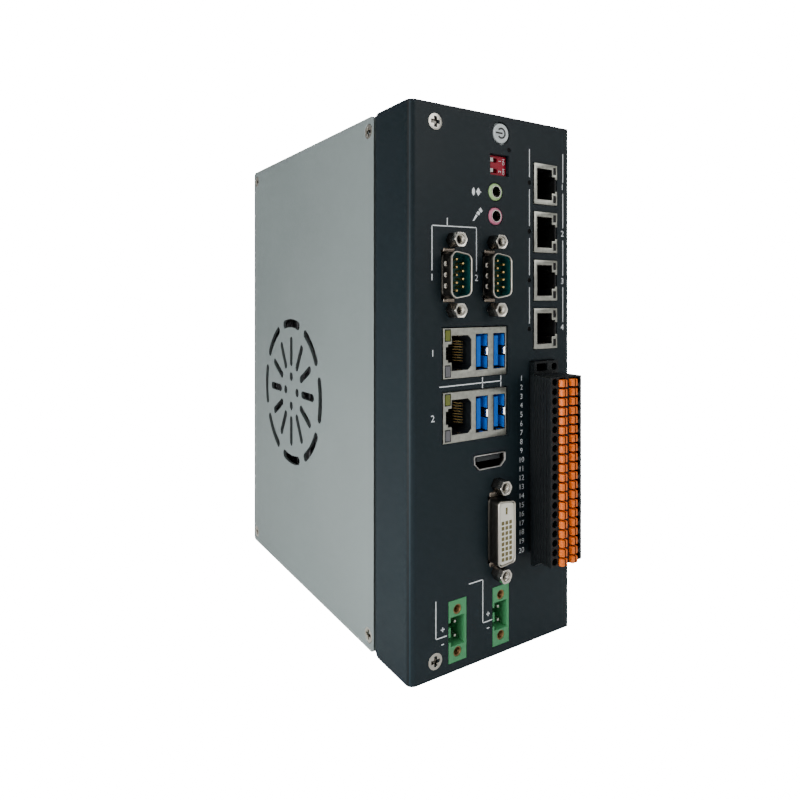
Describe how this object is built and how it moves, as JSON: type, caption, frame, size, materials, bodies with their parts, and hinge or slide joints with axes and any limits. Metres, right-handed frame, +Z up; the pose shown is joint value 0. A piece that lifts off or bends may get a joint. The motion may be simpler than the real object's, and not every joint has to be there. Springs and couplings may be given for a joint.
{
  "type": "fanless industrial pc",
  "caption": "Compact fanless computer for a control cabinet: dark front full of ports, a pluggable terminal block, a vented side cover and a sprung rail clip behind.",
  "frame": {"origin": "centre of the footprint, on the plane of the base", "axes": "+X to the viewer's right when facing the ports, +Y from the port side to the rail side, +Z up as it hangs on a rail"},
  "size_m": [0.077, 0.1818, 0.203],
  "materials": {
    "panel_coat": "fine matt powder coat, dark blue charcoal",
    "case_metal": "satin plated sheet, grey with a green cast",
    "screw_steel": "plated, satin",
    "shield_metal": "bright tin plate",
    "sink_metal": "anodised, matt",
    "board_green": "solder mask on glass laminate",
    "chip_black": "moulded epoxy",
    "black_plastic": "moulded, matt",
    "button_grey": "moulded, fine grain",
    "clear_guide": "clear moulded",
    "switch_red": "moulded",
    "lever_white": "moulded",
    "jack_lime": "moulded, pale green",
    "jack_pink": "moulded, pink",
    "port_teal": "moulded",
    "gold_contact": "gold plate",
    "port_slate": "moulded, dark slate",
    "data_blue": "moulded, bright blue",
    "lens_clear": "tinted clear",
    "port_ivory": "moulded, ivory",
    "supply_green": "moulded, mid green",
    "insert_copper": "turned, dull",
    "release_orange": "moulded, orange",
    "clip_steel": "zinc plate",
    "spring_steel": "hardened strip"
  },
  "bodies": {
    "case": {"front_panel": "panel_coat", "side_cover": "case_metal", "side_cover_screws": "screw_steel", "panel_screws": "screw_steel", "chassis": "case_metal", "main_board": "board_green", "network_board": "board_green", "supply_board": "board_green", "board_pillars": "screw_steel", "board_screws": "screw_steel", "processor": "chip_black", "heat_sink": "sink_metal", "memory_socket": "black_plastic", "memory_module": "board_green", "storage_socket": "black_plastic", "storage_module": "board_green", "cell_holder": "black_plastic", "clock_cell": "screw_steel", "board_link": "black_plastic", "button_switch": "black_plastic", "light_guides": "clear_guide", "mode_switch": "switch_red", "line_out_jack": "jack_lime", "microphone_jack": "jack_pink", "serial_shell_1": "shield_metal", "serial_shell_2": "shield_metal", "serial_insulator_1": "port_teal", "serial_insulator_2": "port_teal", "serial_pins": "gold_contact", "jackscrews": "screw_steel", "stack_shield_1": "shield_metal", "stack_shield_2": "shield_metal", "stack_insert_1": "port_slate", "stack_insert_2": "port_slate", "data_tongues": "data_blue", "stack_lenses": "lens_clear", "network_contacts": "gold_contact", "jack_shield_1": "shield_metal", "jack_shield_2": "shield_metal", "jack_shield_3": "shield_metal", "jack_shield_4": "shield_metal", "jack_inserts": "black_plastic", "video_port_shell": "shield_metal", "video_port_tongue": "port_slate", "monitor_port_shell": "shield_metal", "monitor_port_insert": "port_ivory", "supply_header_1": "supply_green", "supply_header_2": "supply_green", "supply_inserts": "insert_copper", "supply_pins": "shield_metal", "terminal_header": "black_plastic", "terminal_plug": "black_plastic", "release_levers": "release_orange", "rail_clip": "clip_steel", "rail_clip_screws": "screw_steel", "latch_spring": "spring_steel"},
    "power_button": {"power_button": "button_grey"},
    "mode_lever_1": {"mode_lever_1": "lever_white"},
    "mode_lever_2": {"mode_lever_2": "lever_white"},
    "rail_latch": {"rail_latch": "clip_steel"}
  },
  "joints": [
    {"name": "power_press", "type": "slide", "parent": "case", "child": "power_button", "axis": [0, 1, 0], "range_m": [0, 0.0008], "stiffness_N_per_m": 600, "springref_m": -0.0012},
    {"name": "mode_slide_1", "type": "slide", "parent": "case", "child": "mode_lever_1", "axis": [1, 0, 0], "range_m": [0, 0.0024]},
    {"name": "mode_slide_2", "type": "slide", "parent": "case", "child": "mode_lever_2", "axis": [1, 0, 0], "range_m": [0, 0.0024]},
    {"name": "latch_pull", "type": "slide", "parent": "case", "child": "rail_latch", "axis": [0, 0, -1], "range_m": [0, 0.0045], "stiffness_N_per_m": 2000, "springref_m": -0.003, "deforming": ["latch_spring"]}
  ]
}
